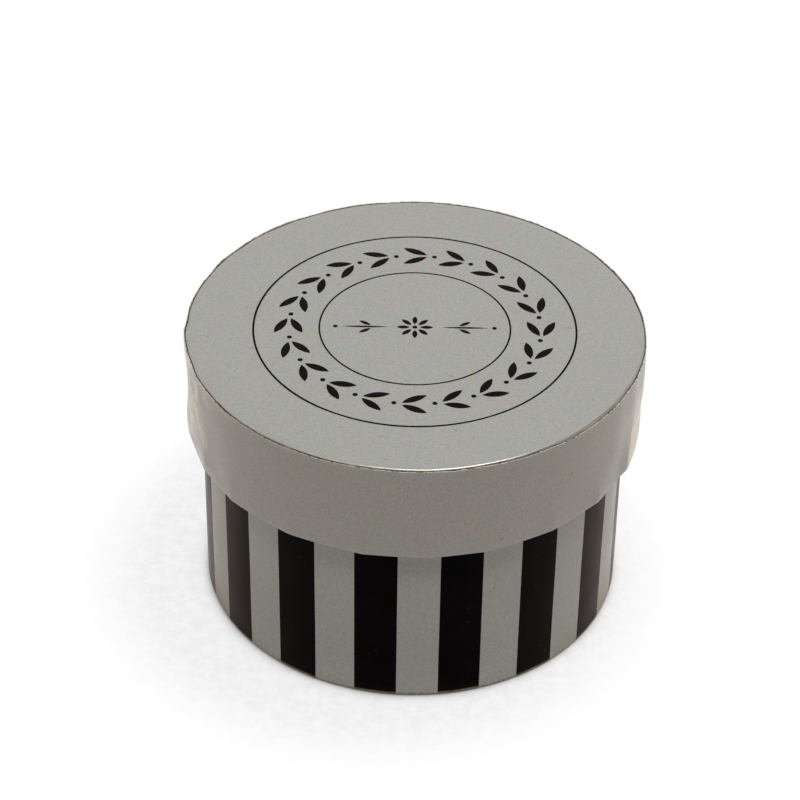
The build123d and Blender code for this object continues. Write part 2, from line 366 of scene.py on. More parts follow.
def make_piece(name, sheets, body, replaced, material, marks):
    """A mesh of one or more sheets, its doubled points joined, riding on its body."""
    starts = np.cumsum([0] + [len(points) for points, _ in sheets[:-1]])
    points = np.concatenate([points for points, _ in sheets])
    faces = np.concatenate([faces + start for (_, faces), start in zip(sheets, starts)])
    used, faces = np.unique(faces, return_inverse=True)
    mesh = bpy.data.meshes.new(name)
    mesh.from_pydata(points[used], [], faces.reshape(-1, 4))
    for mark, values in marks.items():
        layer = mesh.attributes.new(mark, "FLOAT", "POINT")
        layer.data.foreach_set("value", values[used].astype(np.float32))
    shape = bmesh.new()
    shape.from_mesh(mesh)
    bmesh.ops.remove_doubles(shape, verts=shape.verts, dist=MERGED)
    shape.to_mesh(mesh)
    shape.free()
    mesh.polygons.foreach_set("use_smooth", np.ones(len(mesh.polygons), bool))
    mesh.set_sharp_from_angle(angle=radians(SHARP_ANGLE))
    mesh.materials.append(material)
    piece = in_scene(name, mesh)
    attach(piece, body)
    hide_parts(*replaced)


def unevenness(angle, along, seed, shortest):
    """How glued paper swells and sinks: a sum of cosines that has a spread of about one.

    Each cosine has a whole number of waves round the box, a pitch along the paper, and a phase,
    all drawn from one seeded row of numbers, and none is shorter than the shortest wave.
    """
    chance = np.random.default_rng(seed)
    waves, radius = 28, scene_sizes().lid_radius
    most = tau * radius / shortest
    total = np.zeros(np.broadcast(angle, along).shape)
    for _ in range(waves):
        tilt = chance.uniform(0, tau)
        size = most * chance.uniform(0.15, 1)
        across = round(size * cos(tilt))
        climb = size * sin(tilt) / radius
        total = total + np.cos(across * angle + climb * along + chance.uniform(0, tau))
    return total / np.sqrt(waves / 2)


def fine_noise(count, seed, smooth):
    """Random numbers for points round the box: a few neighbours' sum over the root of their count."""
    chance = np.random.default_rng(seed)
    values = chance.normal(size=count)
    parts = [np.roll(values, shift) for shift in range(smooth)]
    return sum(parts) / np.sqrt(smooth)


def flat_between_creases(angle):
    """One midway between two creases and nothing at each: four times the share passed times the rest."""
    creases = np.radians(FOLD_CREASES)
    creases = np.append(creases, creases[0] + tau)
    from_front = angle + pi / 2
    place = (from_front - creases[0]) % tau + creases[0]
    after = np.clip(np.searchsorted(creases, place, side="right"), 1, len(creases) - 1)
    share = (place - creases[after - 1]) / (creases[after] - creases[after - 1])
    return 4 * share * (1 - share)


def near(value, place, reach):
    """One at a place and falling off on both sides, as a bell of the given reach."""
    return np.exp(-(((value - place) / reach) ** 2))


def towards(angle, degree, reach):
    """One at a direction round the box, given in degrees, and falling off on both sides of it.

    It is e to the power of the cosine of the angle away, less one, over one less that of the reach.
    """
    return np.exp(-(1 - np.cos(angle - radians(degree))) / (1 - cos(radians(reach))))


def from_nothing(value, reach):
    """Nothing up to zero, then a straight rise to one at the reach, and one from there on."""
    return np.clip(value / reach, 0, 1)


def base_swell(angle, height):
    """Unevenness of the paper round the base, in metres."""
    return scene_sizes().swell * 0.6 * unevenness(angle, height, *BASE_WAVES)


def lid_swell(angle, height):
    """Unevenness of the paper round the lid, in metres.

    It is greater at the left and right of the box, where the paper was handled. The paper bulges at
    the right, and lies flat between the creases of the lower edge.
    """
    sizes = scene_sizes()
    handled = near(np.cos(angle), -1, 0.18) + 0.8 * near(np.cos(angle), 1, 0.2)
    calm = sizes.swell * unevenness(angle, height, *LID_WAVES)
    rough = 2.2 * sizes.swell * handled * unevenness(angle, height, *HANDLED_WAVES)
    low = near(height, sizes.skirt_low, CREASED)
    off = sizes.bulge * towards(angle, *LOOSE)
    return calm + rough + off + sizes.crease * low * (0.8 - flat_between_creases(angle))


def tab_columns(count, per_tab, half_gap):
    """Angles of the columns round a sheet whose edge is cut into tabs, row by row.

    Each tab runs from one slit to the next. Half of a slit's opening at a row, as an angle, is taken
    off both sides of the tab, and the columns share what is left. Cells across a slit are the last
    column of each tab.
    """
    share = np.linspace(0, 1, per_tab)
    pitch = tau / count
    half = np.asarray(half_gap)[:, None, None]
    starts = (np.arange(count) * pitch)[None, :, None]
    angles = starts + half + share[None, None, :] * (pitch - 2 * half)
    return angles.reshape(len(half_gap), -1)


def tab_cells(rows_open, count, per_tab):
    """Which cells of such a sheet are paper: all but those across an open slit."""
    kept = np.ones((len(rows_open), count * per_tab), bool)
    kept[np.ix_(rows_open, np.arange(per_tab - 1, count * per_tab, per_tab))] = False
    return kept


def lap_strip(board, low, high, spacing, width, middle, swell):
    """The seam of a paper that lies on its own start: a strip up the wall of a board.

    Its thickness rises in a straight line over the ramp and then stays that of the paper, and it
    ends in a cut edge.
    """
    paper = scene_sizes().paper
    course, away = folded_course([(board, low), (board, high)], [], spacing)
    across = np.concatenate([np.linspace(0, LAP_RAMP, 7), np.linspace(LAP_RAMP, width, 21)[1:]])
    angle = (middle + (across - width / 2) / (board + paper))[None, :]
    rise = np.minimum(across / LAP_RAMP, 1)[None, :] * paper
    uneven = swell(angle, course[:, 1:])
    outer = round_the_axis(course, away, paper, angle, uneven + rise + SEAM_RISE)
    inner = round_the_axis(course, away, paper, angle, uneven - SEAM_SINK)
    return outer, inner


# Finishes

# The varnish round the sides has yellowed a little, which shows where they turn away.
WARM_GLOSS = (0.97, 0.88, 0.78, 1.0)
# Round the base it has yellowed and dulled more.
BASE_GLOSS = (0.62, 0.48, 0.34, 1.0)
CLEAR_GLOSS = (1.0, 1.0, 1.0, 1.0)
# Sockets 1 and 2 of a range say where it starts and ends, and 3 and 4 what it gives there. Socket 0 of
# a mix is the share of the second of its colours, which are sockets 6 and 7.
EASING = {"interpolation_type": "SMOOTHSTEP"}


def fill(tree, node, sockets):
    """Give each named socket of a node its value, or link it from the socket that is given."""
    for name, value in sockets.items():
        if isinstance(value, bpy.types.NodeSocket):
            tree.links.new(value, node.inputs[name])
        else:
            node.inputs[name].default_value = value


def add(tree, kind, sockets, **settings):
    """Add a node with its settings, its values and its links."""
    node = tree.nodes.new("ShaderNode" + kind)
    for name, value in settings.items():
        setattr(node, name, value)
    fill(tree, node, sockets)
    return node


def new_finish(name, **grains):
    """A new material, its node tree, its surface shader and the outputs of its noises by name.

    Each noise has the width of its grains in metres, which is one over its scale, its detail and its
    roughness, and can have the sockets of a mapping that draws its grains out.
    """
    material = bpy.data.materials.new(name)
    material.use_nodes = True
    tree = material.node_tree
    place = add(tree, "TexCoord", {}).outputs["Object"]
    noises = {}
    for grain, (width, detail, rough, *mappings) in grains.items():
        vector = place
        for mapping in mappings:
            vector = add(tree, "Mapping", {"Vector": place, **mapping}).outputs["Vector"]
        sockets = {"Vector": vector, "Scale": 1 / width, "Detail": detail, "Roughness": rough}
        noises[grain] = add(tree, "TexNoise", sockets).outputs
    return material, tree, tree.nodes["Principled BSDF"], noises


def layered(tree, tone, *layers):
    """Colours laid over a tone one after the other, as the last one's socket.

    A layer is a value and its colour. The value is the colour's share, unless the layer also has
    three numbers: then the share eases from nothing at the first to the third at the second.
    """
    for value, tint, *step in layers:
        if step:
            low, high, most = step
            value = add(tree, "MapRange", {"Value": value, 1: low, 2: high, 3: 0.0, 4: most}, **EASING)
            value = value.outputs[0]
        tone = add(tree, "Mix", {0: value, 6: tone, 7: tint}, data_type="RGBA").outputs[2]
    return tone


def finish_surface(tree, shader, relief, sockets):
    """Give a surface its sockets and its relief, which is a height, its strength and its depth."""
    height, strength, depth = relief
    bump = add(tree, "Bump", {"Height": height, "Strength": strength, "Distance": depth})
    fill(tree, shader, {"Normal": bump.outputs[0], **sockets})


def silver_printed_paper(name, silver, gloss_tint, colours):
    """Coated art paper printed all over with metallic silver ink and sealed with satin varnish.

    The ink is leafing aluminium flake, so it gives a soft grey that is brightest where it turns
    away and shows its surroundings. Flakes are 0.02 to 0.04 mm, too fine to show at this size, and
    are drawn as a 0.4 mm mottle. Raw cut edges show the cream core of the paper, and cream patches of
    painted sheen stand for light where the lid's sides turn away. Places of painted shade, and of real
    grime, are dark, and burnished ones show more of the metal.
    """
    material, tree, shader, noises = new_finish(
        name,
        mottle=(0.42 * MM, 2.0, 0.7),
        cloud=(11 * MM, 3.0, 0.5),
        speck=(0.9 * MM, 0.0, 0.5),
        patch=(4.5 * MM, 3.0, 0.55),
        crumb=(0.7 * MM, 1.0, 0.5),
    )
    worn, raw, soiled, burnished = (
        add(tree, "Attribute", {}, attribute_name=mark).outputs["Fac"]
        for mark in ("worn", "raw", "soiled", "burnished")
    )
    mottle, cloud, patch = noises["mottle"], noises["cloud"]["Fac"], noises["patch"]["Fac"]
    overlaid = {0: 0.5, 6: silver, 7: mottle["Color"]}
    tone = add(tree, "Mix", overlaid, data_type="RGBA", blend_type="OVERLAY").outputs[2]
    short = add(tree, "MapRange", {"Value": patch, 1: 0.4, 2: 0.6, 3: -1.0, 4: 0.0}, **EASING).outputs[0]
    sheen_patches = add(tree, "Math", {0: worn, 1: short}, operation="ADD", use_clamp=True).outputs[0]
    core = layered(tree, colours.raw_paper, (noises["crumb"]["Fac"], linear("#6d5640"), 0.5, 0.66, 1.0))
    tone = layered(
        tree,
        tone,
        (cloud, linear("#8f8b82"), 0.35, 0.65, 0.1),
        (noises["speck"]["Fac"], linear("#4c453f"), 0.83, 0.87, 0.3),
        # Cream patches of painted sheen on the lid's sides.
        (sheen_patches, colours.raw_paper),
        (raw, core),
        # Painted shade in the crevice under the lid's fold and round the base, and real grime on the lid's
        # cut edge and the base's chafed fold.
        (soiled, linear("#3a322a")),
    )
    printed = add(tree, "Math", {0: 1.0, 1: raw}, operation="SUBTRACT").outputs[0]
    flakes = add(tree, "MapRange", {"Value": burnished, 1: 0.0, 2: 1.0, 3: 0.2, 4: 0.7}, **EASING)
    metal = add(tree, "Math", {0: printed, 1: flakes.outputs[0]}, operation="MULTIPLY").outputs[0]
    gloss = add(tree, "MapRange", {"Value": cloud, 1: 0.3, 2: 0.7, 3: 0.21, 4: 0.27}, **EASING).outputs[0]
    sockets = {"Base Color": tone, "Metallic": metal, "Roughness": gloss, "Specular Tint": gloss_tint}
    finish_surface(tree, shader, (mottle["Fac"], 0.12, 0.02 * MM), sockets)
    return material


def black_offset_ink(name, ink):
    """Two hits of black offset ink over the silver, under the same satin varnish.

    It gives a deep, nearly neutral black that lifts to a warm grey where it turns away, because the
    flakes under it throw light back as metal does. Offset ink picks up 0.1 to 0.4 mm pinholes and
    short scuffs, which show as pale specks, and a chafed fold shows brown paper.
    """
    material, tree, shader, noises = new_finish(
        name,
        cloud=(6 * MM, 2.0, 0.5),
        pinhole=(0.75 * MM, 0.0, 0.5),
        scuff=(2.6 * MM, 0.0, 0.5, {"Scale": (1.0, 1.0, 9.0)}),
        grain=(0.3 * MM, 2.0, 0.5),
    )
    chafed = add(tree, "Attribute", {}, attribute_name="chafed").outputs["Fac"]
    cloud = noises["cloud"]["Fac"]
    tone = layered(
        tree,
        ink,
        (cloud, linear("#090708"), 0.35, 0.65, 0.4),
        (noises["pinhole"]["Fac"], linear("#6a675f"), 0.84, 0.88, 0.14),
        (noises["scuff"]["Fac"], linear("#8a867c"), 0.83, 0.87, 0.06),
        (chafed, linear("#8d7a68")),
    )
    gloss = add(tree, "MapRange", {"Value": cloud, 1: 0.3, 2: 0.7, 3: 0.28, 4: 0.34}, **EASING)
    sockets = {
        "Base Color": tone,
        "Metallic": 0.85,
        "Roughness": gloss.outputs[0],
        "Specular IOR Level": 0.02,
        "Specular Tint": (0.74, 0.68, 0.66, 1.0),
    }
    finish_surface(tree, shader, (noises["grain"]["Fac"], 0.1, 0.02 * MM), sockets)
    return material


def uncoated_paper(name, tint):
    """Uncoated wood-free paper, made on a wire and left matt.

    It gives a soft white with fibres 1 to 3 mm long and 0.03 mm thick, drawn 0.15 mm thick, and
    slightly cloudy where the sheet is thicker.
    """
    drawn_out = {"Scale": (1.0, 1.0, 7.0), "Rotation": (0.6, 0.4, 0.2)}
    material, tree, shader, noises = new_finish(
        name, cloud=(3 * MM, 4.0, 0.6), fibre=(1.1 * MM, 3.0, 0.7, drawn_out)
    )
    cloud, fibre = noises["cloud"]["Fac"], noises["fibre"]["Fac"]
    tone = layered(
        tree,
        tint,
        (cloud, linear("#cfcabc"), 0.3, 0.7, 0.16),
        (fibre, linear("#b9b09c"), 0.6, 0.72, 0.18),
    )
    sockets = {"Base Color": tone, "Roughness": 0.85, "Specular IOR Level": 0.25}
    finish_surface(tree, shader, (fibre, 0.3, 0.03 * MM), sockets)
    return material


def wound_greyboard(name, tint):
    """Greyboard pressed from recycled fibre.

    It gives a dull brown grey, with fibre clumps about 1 mm wide and scattered dark and pale flecks
    of 0.3 to 0.6 mm.
    """
    material, tree, shader, noises = new_finish(
        name, clump=(1.1 * MM, 4.0, 0.65), fleck=(0.45 * MM, 0.0, 0.5)
    )
    clump, fleck = noises["clump"]["Fac"], noises["fleck"]["Fac"]
    tone = layered(
        tree,
        tint,
        (clump, linear("#6f665b"), 0.3, 0.7, 0.35),
        (fleck, linear("#3f3a36"), 0.68, 0.74, 0.5),
        (fleck, linear("#c9c1b0"), 0.32, 0.26, 0.4),
    )
    sockets = {"Base Color": tone, "Roughness": 0.9, "Specular IOR Level": 0.2}
    finish_surface(tree, shader, (clump, 0.5, 0.06 * MM), sockets)
    return material


def seen_straight(tree):
    """One for rays from the camera, off a gloss or through a thing, and nothing for diffuse light."""
    path = add(tree, "LightPath", {}).outputs
    seen = path["Is Camera Ray"]
    for kind in ("Is Glossy Ray", "Is Transmission Ray"):
        seen = add(tree, "Math", {0: seen, 1: path[kind]}, operation="ADD", use_clamp=True).outputs[0]
    return seen


def paper_sweep(name, tint):
    """The pale matt sheet that the box stands on, which fades into the white room around it.

    It glows by most of one less e to the power of less the way out from the foot over the shadow's
    reach, which leaves a thin shadow round the foot. From the lid's radius to 19 mm beyond it, round
    a point a little to the left of the box, it turns as white as the room.
    """
    sizes = scene_sizes()
    foot, reach, most = sizes.base_radius - 0.3 * MM, 0.83 * MM, 0.93
    inmost, outmost, aside = sizes.lid_radius, sizes.lid_radius + 19 * MM, (7 * MM, 2 * MM, 0.0)
    material, tree, shader, noises = new_finish(name, felt=(2.6 * MM, 4.0, 0.7))
    tone = layered(tree, tint, (noises["felt"]["Fac"], linear("#f0f0f0"), 0.36, 0.64, 0.8))
    fill(tree, shader, {"Base Color": tone, "Roughness": 0.95, "Specular IOR Level": 0.0})
    place = add(tree, "TexCoord", {}).outputs["Object"]
    apart = add(tree, "VectorMath", {0: place}, operation="LENGTH").outputs["Value"]
    power = add(tree, "Math", {0: apart, 1: -1 / reach, 2: foot / reach}, operation="MULTIPLY_ADD")
    dark = add(tree, "Math", {0: power.outputs[0]}, operation="EXPONENT").outputs[0]
    lit = {0: dark, 1: -most, 2: most}
    close_by = add(tree, "Math", lit, operation="MULTIPLY_ADD", use_clamp=True).outputs[0]
    # The whitening is centred a little left of the box, so the floor stays greyer at its left: a painted
    # shadow.
    moved = add(tree, "VectorMath", {0: place, 1: aside}, operation="ADD").outputs[0]
    wide = add(tree, "VectorMath", {0: moved}, operation="LENGTH").outputs["Value"]
    whitening = {"Value": wide, 1: inmost, 2: outmost, 3: 0.0, 4: 1.0}
    room_white = add(tree, "MapRange", whitening, **EASING).outputs[0]
    fade = add(tree, "Mix", {0: room_white, 2: close_by, 3: 1.0}).outputs[0]
    glow = layered(tree, tone, (room_white, (1, 1, 1, 1)))
    white = add(tree, "Emission", {"Color": glow, "Strength": 1.0}).outputs[0]
    share = add(tree, "Math", {0: fade, 1: seen_straight(tree)}, operation="MULTIPLY").outputs[0]
    mixed = add(tree, "MixShader", {0: share, 1: shader.outputs[0], 2: white}).outputs[0]
    fill(tree, tree.nodes["Material Output"], {"Surface": mixed})
    return material


# Pieces


class GIFTBOX_OT_lid_top_paper(bpy.types.Operator):
    """Make the silver paper on the lid, folded over its edge and down in tabs"""

    bl_idname = "gift_box.lid_top_paper"
    bl_label = "Lid Top Paper"

    def execute(self, context):
        sizes, colours = scene_sizes(), scene_colours()
        pressed = sizes.lid_radius - 2 * sizes.paper
        board_top = sizes.height - sizes.paper
        tab_end = sizes.height - LID_TAB_DEPTH
        corners = [(pressed, tab_end), (pressed, board_top), (0, board_top)]
        course, away = folded_course(corners, [sizes.board_edge], LID_TOP_ROWS)
        radius, height = course[:, :1], course[:, 1:]
        root = sizes.height - LID_SLIT_START
        half_gap = LID_SLIT_WIDTH / 2 * from_nothing(root - course[:, 1], root - tab_end) / pressed
        angle = tab_columns(LID_TAB_COUNT, PER_LID_TAB, half_gap)
        kept = tab_cells(course[:-1, 1] < root - BLUNT_END, LID_TAB_COUNT, PER_LID_TAB)
        # The flat part sinks a little into the board, and the fold waves.
        dish = LID_DISH * unevenness(angle, radius, *DISH_WAVES)
        flat = from_nothing(pressed - 1.5 * MM - radius, 8 * MM) * from_nothing(radius, 6 * MM)
        folded = np.clip(away[:, :1], 0, 1) * np.clip(away[:, 1:], 0, 1) * 2
        wave = -np.abs(sizes.rim_wave * unevenness(angle, 0 * angle, *RIM_WAVES)) * folded
        at_edge = from_nothing(radius - pressed + 3 * MM, 3 * MM)
        rise = lid_swell(angle, np.minimum(height, sizes.cut_edge)) * at_edge
        lift = sizes.paper - PRINT_RISE + wave
        outer = round_the_axis(course, away, lift, angle, rise, -np.abs(dish) * flat)
        inner = round_the_axis(course, away, GLUE, angle)
        # Painted shade lies in the crevice from just over the side paper's cut edge down, broken by a noise,
        # and is weaker at the left and right. The fold above it is burnished, or darkened by painted shade
        # where the side paper is cut low.
        low_cut = towards(angle, *LOW_CUT)
        sunk = sizes.cut_edge + (0.05 + 0.07 * low_cut) * MM - height - away[:, 1:] * sizes.paper
        crevice_shade = np.clip(0.85 + 0.2 * fine_noise(angle.shape[1], *CREVICE_SHADE_NOISE), 0.4, 1)
        less_shade = 0.45 * towards(angle, *LESS_SHADE_LEFT) + 0.3 * towards(angle, *LESS_SHADE_RIGHT)
        soiled = from_nothing(sunk, CREVICE_SHADE_EASE) * crevice_shade * (0.9 - 0.35 * low_cut - less_shade)
        # Painted shade also darkens the fold where the side paper is cut low, as a grey band.
        soiled = np.maximum(soiled, 0.5 * low_cut * np.sqrt(folded))
        marks = marks_on({"soiled": soiled, "burnished": folded * (1 - low_cut)})
        finish = silver_printed_paper("silver_paper_lid_top", colours.silver, CLEAR_GLOSS, colours)
        sheets = [sheet(outer, inner, kept)]
        make_piece("lid_top_cover", sheets, "lid", ["lid_top_paper"], finish, marks)
        return {"FINISHED"}


def lid_side_wear_and_sheen(angle, height, shown):
    """Marks of the lid's side paper: its raw cut edge, painted sheen on its sides and a browned stretch of
    the edge.

    The edge is raw as far down as it is frayed. Cream patches of painted sheen stand for light at the
    left, and in the band at the right, which comes in over a degree and goes out over eight.
    """
    sizes = scene_sizes()
    below = sizes.cut_edge - height
    frayed = np.clip(FRAYED + FRAY_SPREAD * fine_noise(angle.shape[1], *FRAY_NOISE), 0, None)
    raw = np.clip((frayed[None, :] - below) / FRAYED + 0.5, 0, 1) * (shown > 0.99)
    band_start = np.interp((sizes.height - height) / MM, BAND_DOWN, BAND_STARTS)
    from_right = (np.degrees(angle) + 180) % 360 - 180
    band = from_nothing(from_right - band_start, 1) * from_nothing(BAND_END - from_right, 8)
    # Painted sheen: cream patches that stand for light where the side turns away.
    worn = (0.9 * towards(angle, *SHEEN_PATCHES) + 1.5 * band) * shown
    browned = 0.55 * raw * towards(angle, *BROWNED)
    return {"raw": raw, "worn": worn, "soiled": browned}


class GIFTBOX_OT_lid_side_paper(bpy.types.Operator):
    """Make the silver paper round the skirt, with its ragged cut edge, its creased fold and its seam"""

    bl_idname = "gift_box.lid_side_paper"
    bl_label = "Lid Side Paper"

    def execute(self, context):
        sizes, colours = scene_sizes(), scene_colours()
        outside = sizes.lid_radius - sizes.paper
        inside = outside - sizes.wall
        low, top = sizes.skirt_low + sizes.paper, sizes.cut_edge
        corners = [(inside, sizes.skirt_low + LID_TURN_IN), (inside, low), (outside, low), (outside, top)]
        course, away = folded_course(corners, [sizes.board_edge] * 2, LID_SIDE_ROWS)
        closer = [(outside, top - depth * MM) for depth in CUT_EDGE_ROWS]
        course = np.concatenate([course[:-1], closer, course[-1:]])
        away = np.concatenate([away[:-1], np.repeat(away[-1:], len(closer) + 1, axis=0)])
        angle = (np.arange(LID_COLUMNS) * tau / LID_COLUMNS)[None, :]
        height = course[:, 1:]
        shown = np.clip(away[:, :1], 0, 1)
        below = np.where(shown > 0.99, top - height, sizes.height)
        # The cut edge is ragged and in one place lower, and stands off the lid by its gap.
        ends = np.clip(1 - below / LOOSE_EDGE, 0, 1)
        rag = fine_noise(LID_COLUMNS, *CUT_NOISE) * 0.5 + fine_noise(LID_COLUMNS, *SLOW_CUT_NOISE)
        lower = LOW_CUT_DEPTH * towards(angle, *LOW_CUT) * np.clip(1 - below / LOW_CUT_EASE, 0, 1)
        drop = sizes.ragged * rag[None, :] * ends - lower
        loose = 0.4 + 0.3 * np.clip(np.sin(angle), 0, 1) - 0.35 * towards(angle, *LOW_CUT)
        loose = loose - 0.35 * towards(angle, *TIGHT_LEFT) - 0.3 * towards(angle, *TIGHT_RIGHT)
        stand = sizes.edge_gap * loose * (1 + 0.3 * unevenness(angle, 0 * angle, *GAP_WAVES))
        swell = lid_swell(angle, height)
        inward = swell * np.clip(-away[:, :1], 0, 1) * 0.5
        rise = swell * shown + np.clip(stand, 0, None) * ends + inward
        outer = round_the_axis(course, away, sizes.paper, angle, rise, drop)
        inner = round_the_axis(course, away, GLUE, angle, rise, drop)
        lap_low = low + sizes.board_edge
        seam = lap_strip(outside, lap_low, top, LID_LAP_ROWS, LID_LAP, radians(LID_LAP_ANGLE), lid_swell)
        marks = marks_on(lid_side_wear_and_sheen(angle, height, shown), seam)
        finish = silver_printed_paper("silver_paper_lid_side", colours.side_silver_shaded, WARM_GLOSS, colours)
        sheets = [sheet(outer, inner), sheet(*seam, closed=False)]
        make_piece("lid_side_cover", sheets, "lid", ["lid_side_wrap"], finish, marks)
        return {"FINISHED"}


def base_course():
    """The line of the base's paper: from the tabs below, up the wall, over the rim and down inside."""
    sizes = scene_sizes()
    tube_outside = sizes.base_radius - sizes.paper
    tube_inside = tube_outside - sizes.wall
    board_low = 2 * sizes.paper
    tube_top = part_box("base_tube")[1].z
    turn_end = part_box("base_wrap")[1].z - BASE_TURN_IN
    corners = [
        (tube_outside - BASE_TAB_LENGTH, board_low),
        (tube_outside, board_low),
        (tube_outside, tube_top),
        (tube_inside, tube_top),
        (tube_inside, turn_end),
    ]
    course, away = folded_course(corners, [sizes.board_edge] * 3, BASE_ROWS)
    fold_top = board_low + sizes.board_edge
    after = np.argmax(course[:, 1] > fold_top + MM)
    closer = [(tube_outside, fold_top + above * MM) for above in FOLD_ROWS]
    course = np.concatenate([course[:after], closer, course[after:]])
    return course, np.concatenate([away[:after], [(1, 0)] * len(closer), away[after:]])


def chafed_fold(course, angle, noise):
    """Where the lower fold of the base's paper has rubbed on the table: a thin uneven ring."""
    outside = course[:, :1] > scene_sizes().base_radius - MM
    ring = near(course[:, 1:], CHAFED_HEIGHT, CHAFED_REACH) * outside
    return ring * np.clip(0.8 + 0.3 * fine_noise(angle.shape[1], *noise), 0, 1)[None, :]


def base_side_wear_and_shade(course, angle, shown):
    """Marks of the base's paper: its raw chafed fold, painted shade on it, and ink polished by hands.

    Painted shade lies in a ring under the skirt, where the skirt's shadow falls, more of it at the front,
    and down the left and right, where the base turns away. The chafed fold is darkened too.
    The ink is more and more polished down to the fold, where hands lift the box.
    """
    height = course[:, 1:]
    chafed = chafed_fold(course, angle, CHAFED_NOISE)
    # Painted shade: a ring under the skirt where its shadow falls, more at the front, and down the left and
    # right sides.
    under_skirt = near(height, scene_sizes().skirt_low - SHADE_DOWN, SHADE_REACH)
    base_painted_shade = (0.13 + 0.13 * towards(angle, *SHADE_FRONT)) * under_skirt
    base_painted_shade = base_painted_shade + 0.42 * towards(angle, *SHADE_LEFT) + 0.2 * towards(angle, *SHADE_RIGHT)
    polished = 0.7 * shown * np.clip(1 - height / POLISHED, 0, 1) + 0 * angle
    # One mark holds the painted shade and the darkened chafed fold.
    return {"raw": chafed, "soiled": base_painted_shade * shown + 0.45 * chafed, "burnished": polished}


class GIFTBOX_OT_base_side_paper(bpy.types.Operator):
    """Make the silver paper round the base, turned in over the rim and folded under in tabs"""

    bl_idname = "gift_box.base_side_paper"
    bl_label = "Base Side Paper"

    def execute(self, context):
        sizes, colours = scene_sizes(), scene_colours()
        course, away = base_course()
        radius = course[:, 0]
        board_low = 2 * sizes.paper
        tube_outside = sizes.base_radius - sizes.paper
        root = tube_outside - BASE_SLIT_START
        tip = tube_outside - BASE_TAB_LENGTH
        under = course[:, 1] < board_low + 0.01 * MM
        half_gap = BASE_SLIT_WIDTH / 2 * from_nothing(root - radius, root - tip) * under / radius
        angle = tab_columns(BASE_TAB_COUNT, PER_BASE_TAB, half_gap)
        rows_open = (radius[:-1] < root - BLUNT_END) & under[:-1]
        kept = tab_cells(rows_open, BASE_TAB_COUNT, PER_BASE_TAB)
        shown = np.clip(away[:, :1], 0, 1)
        rise = base_swell(angle, course[:, 1:]) * shown
        outer = round_the_axis(course, away, sizes.paper, angle, rise)
        inner = round_the_axis(course, away, GLUE, angle, rise)
        # The seam lies in the silver stripe at the back.
        pitch = tau / sizes.stripe_count
        width = sizes.base_radius * pitch * (1 - sizes.stripe_share) - 2 * LAP_MARGIN
        to_back = round((pi / 2 - sizes.first_stripe) / pitch)
        middle = sizes.first_stripe + pitch * (to_back + 0.5)
        low, top = board_low + sizes.board_edge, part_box("base_tube")[1].z - sizes.board_edge
        seam = lap_strip(tube_outside, low, top, BASE_ROWS, width, middle, base_swell)
        marks = marks_on(base_side_wear_and_shade(course, angle, shown), seam)
        finish = silver_printed_paper("silver_paper_base", colours.base_silver_shaded, BASE_GLOSS, colours)
        sheets = [sheet(outer, inner, kept), sheet(*seam, closed=False)]
        make_piece("base_side_cover", sheets, "base", ["base_wrap"], finish, marks)
        return {"FINISHED"}


class GIFTBOX_OT_base_stripes(bpy.types.Operator):
    """Make the black stripes, thin areas of ink that follow the base's paper round its folds"""

    bl_idname = "gift_box.base_stripes"
    bl_label = "Base Stripes"

    def execute(self, context):
        sizes, colours = scene_sizes(), scene_colours()
        course, away = base_course()
        tube_outside = sizes.base_radius - sizes.paper
        start = np.argmax(course[:, 0] > tube_outside - STRIPE_TAIL)
        course, away = course[start:], away[start:]
        pitch = tau / sizes.stripe_count
        share = np.linspace(-0.5, 0.5, PER_STRIPE)
        middles = sizes.first_stripe + np.arange(sizes.stripe_count) * pitch
        angle = (middles[:, None] + share[None, :] * pitch * sizes.stripe_share).reshape(1, -1)
        kept = np.ones((len(course) - 1, angle.shape[1]), bool)
        kept[:, PER_STRIPE - 1 :: PER_STRIPE] = False
        rise = base_swell(angle, course[:, 1:]) * np.clip(away[:, :1], 0, 1)
        outer = round_the_axis(course, away, sizes.paper + PRINT_RISE, angle, rise)
        inner = round_the_axis(course, away, sizes.paper - INK, angle, rise)
        marks = marks_on({"chafed": chafed_fold(course, angle, CHAFED_INK_NOISE)})
        finish = black_offset_ink("black_stripe_ink", colours.black)
        sheets = [sheet(outer, inner, kept)]
        make_piece("base_stripe_ink", sheets, "base", ["base_stripes"], finish, marks)
        return {"FINISHED"}


class GIFTBOX_OT_kept_finishes(bpy.types.Operator):
    """Give the print, the linings and the boards their finishes on their own solids"""

    bl_idname = "gift_box.kept_finishes"
    bl_label = "Print, Linings and Boards"

    def execute(self, context):
        colours = scene_colours()
        print_ink = black_offset_ink("lid_print_ink", colours.lid_ink)
        lining = uncoated_paper("white_lining_paper", colours.lining)
        under = silver_printed_paper("silver_paper_under_base", colours.base_silver_shaded, WARM_GLOSS, colours)
        board = wound_greyboard("wound_greyboard", colours.greyboard)
        finishes = {
            "lid_print": print_ink,
            "base_inner_liner": lining,
            "base_floor_paper": lining,
            "lid_inner_liner": lining,
            "lid_ceiling_paper": lining,
            "base_under_paper": under,
            "base_tube": board,
            "base_board_disc": board,
            "lid_hoop": board,
            "lid_board_disc": board,
        }
        for node, finish in finishes.items():
            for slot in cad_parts[node].material_slots:
                slot.material = finish
        return {"FINISHED"}


# Studio


def lay_floor(tint):
    """A square sheet of floor with its middle under the box."""
    half = FLOOR_WIDTH / 2
    corners = [(-half, -half, 0), (half, -half, 0), (half, half, 0), (-half, half, 0)]
    mesh = bpy.data.meshes.new("floor")
    mesh.from_pydata(corners, [], [(0, 1, 2, 3)])
    mesh.materials.append(paper_sweep("paper_sweep", tint))
    floor = in_scene("floor", mesh)


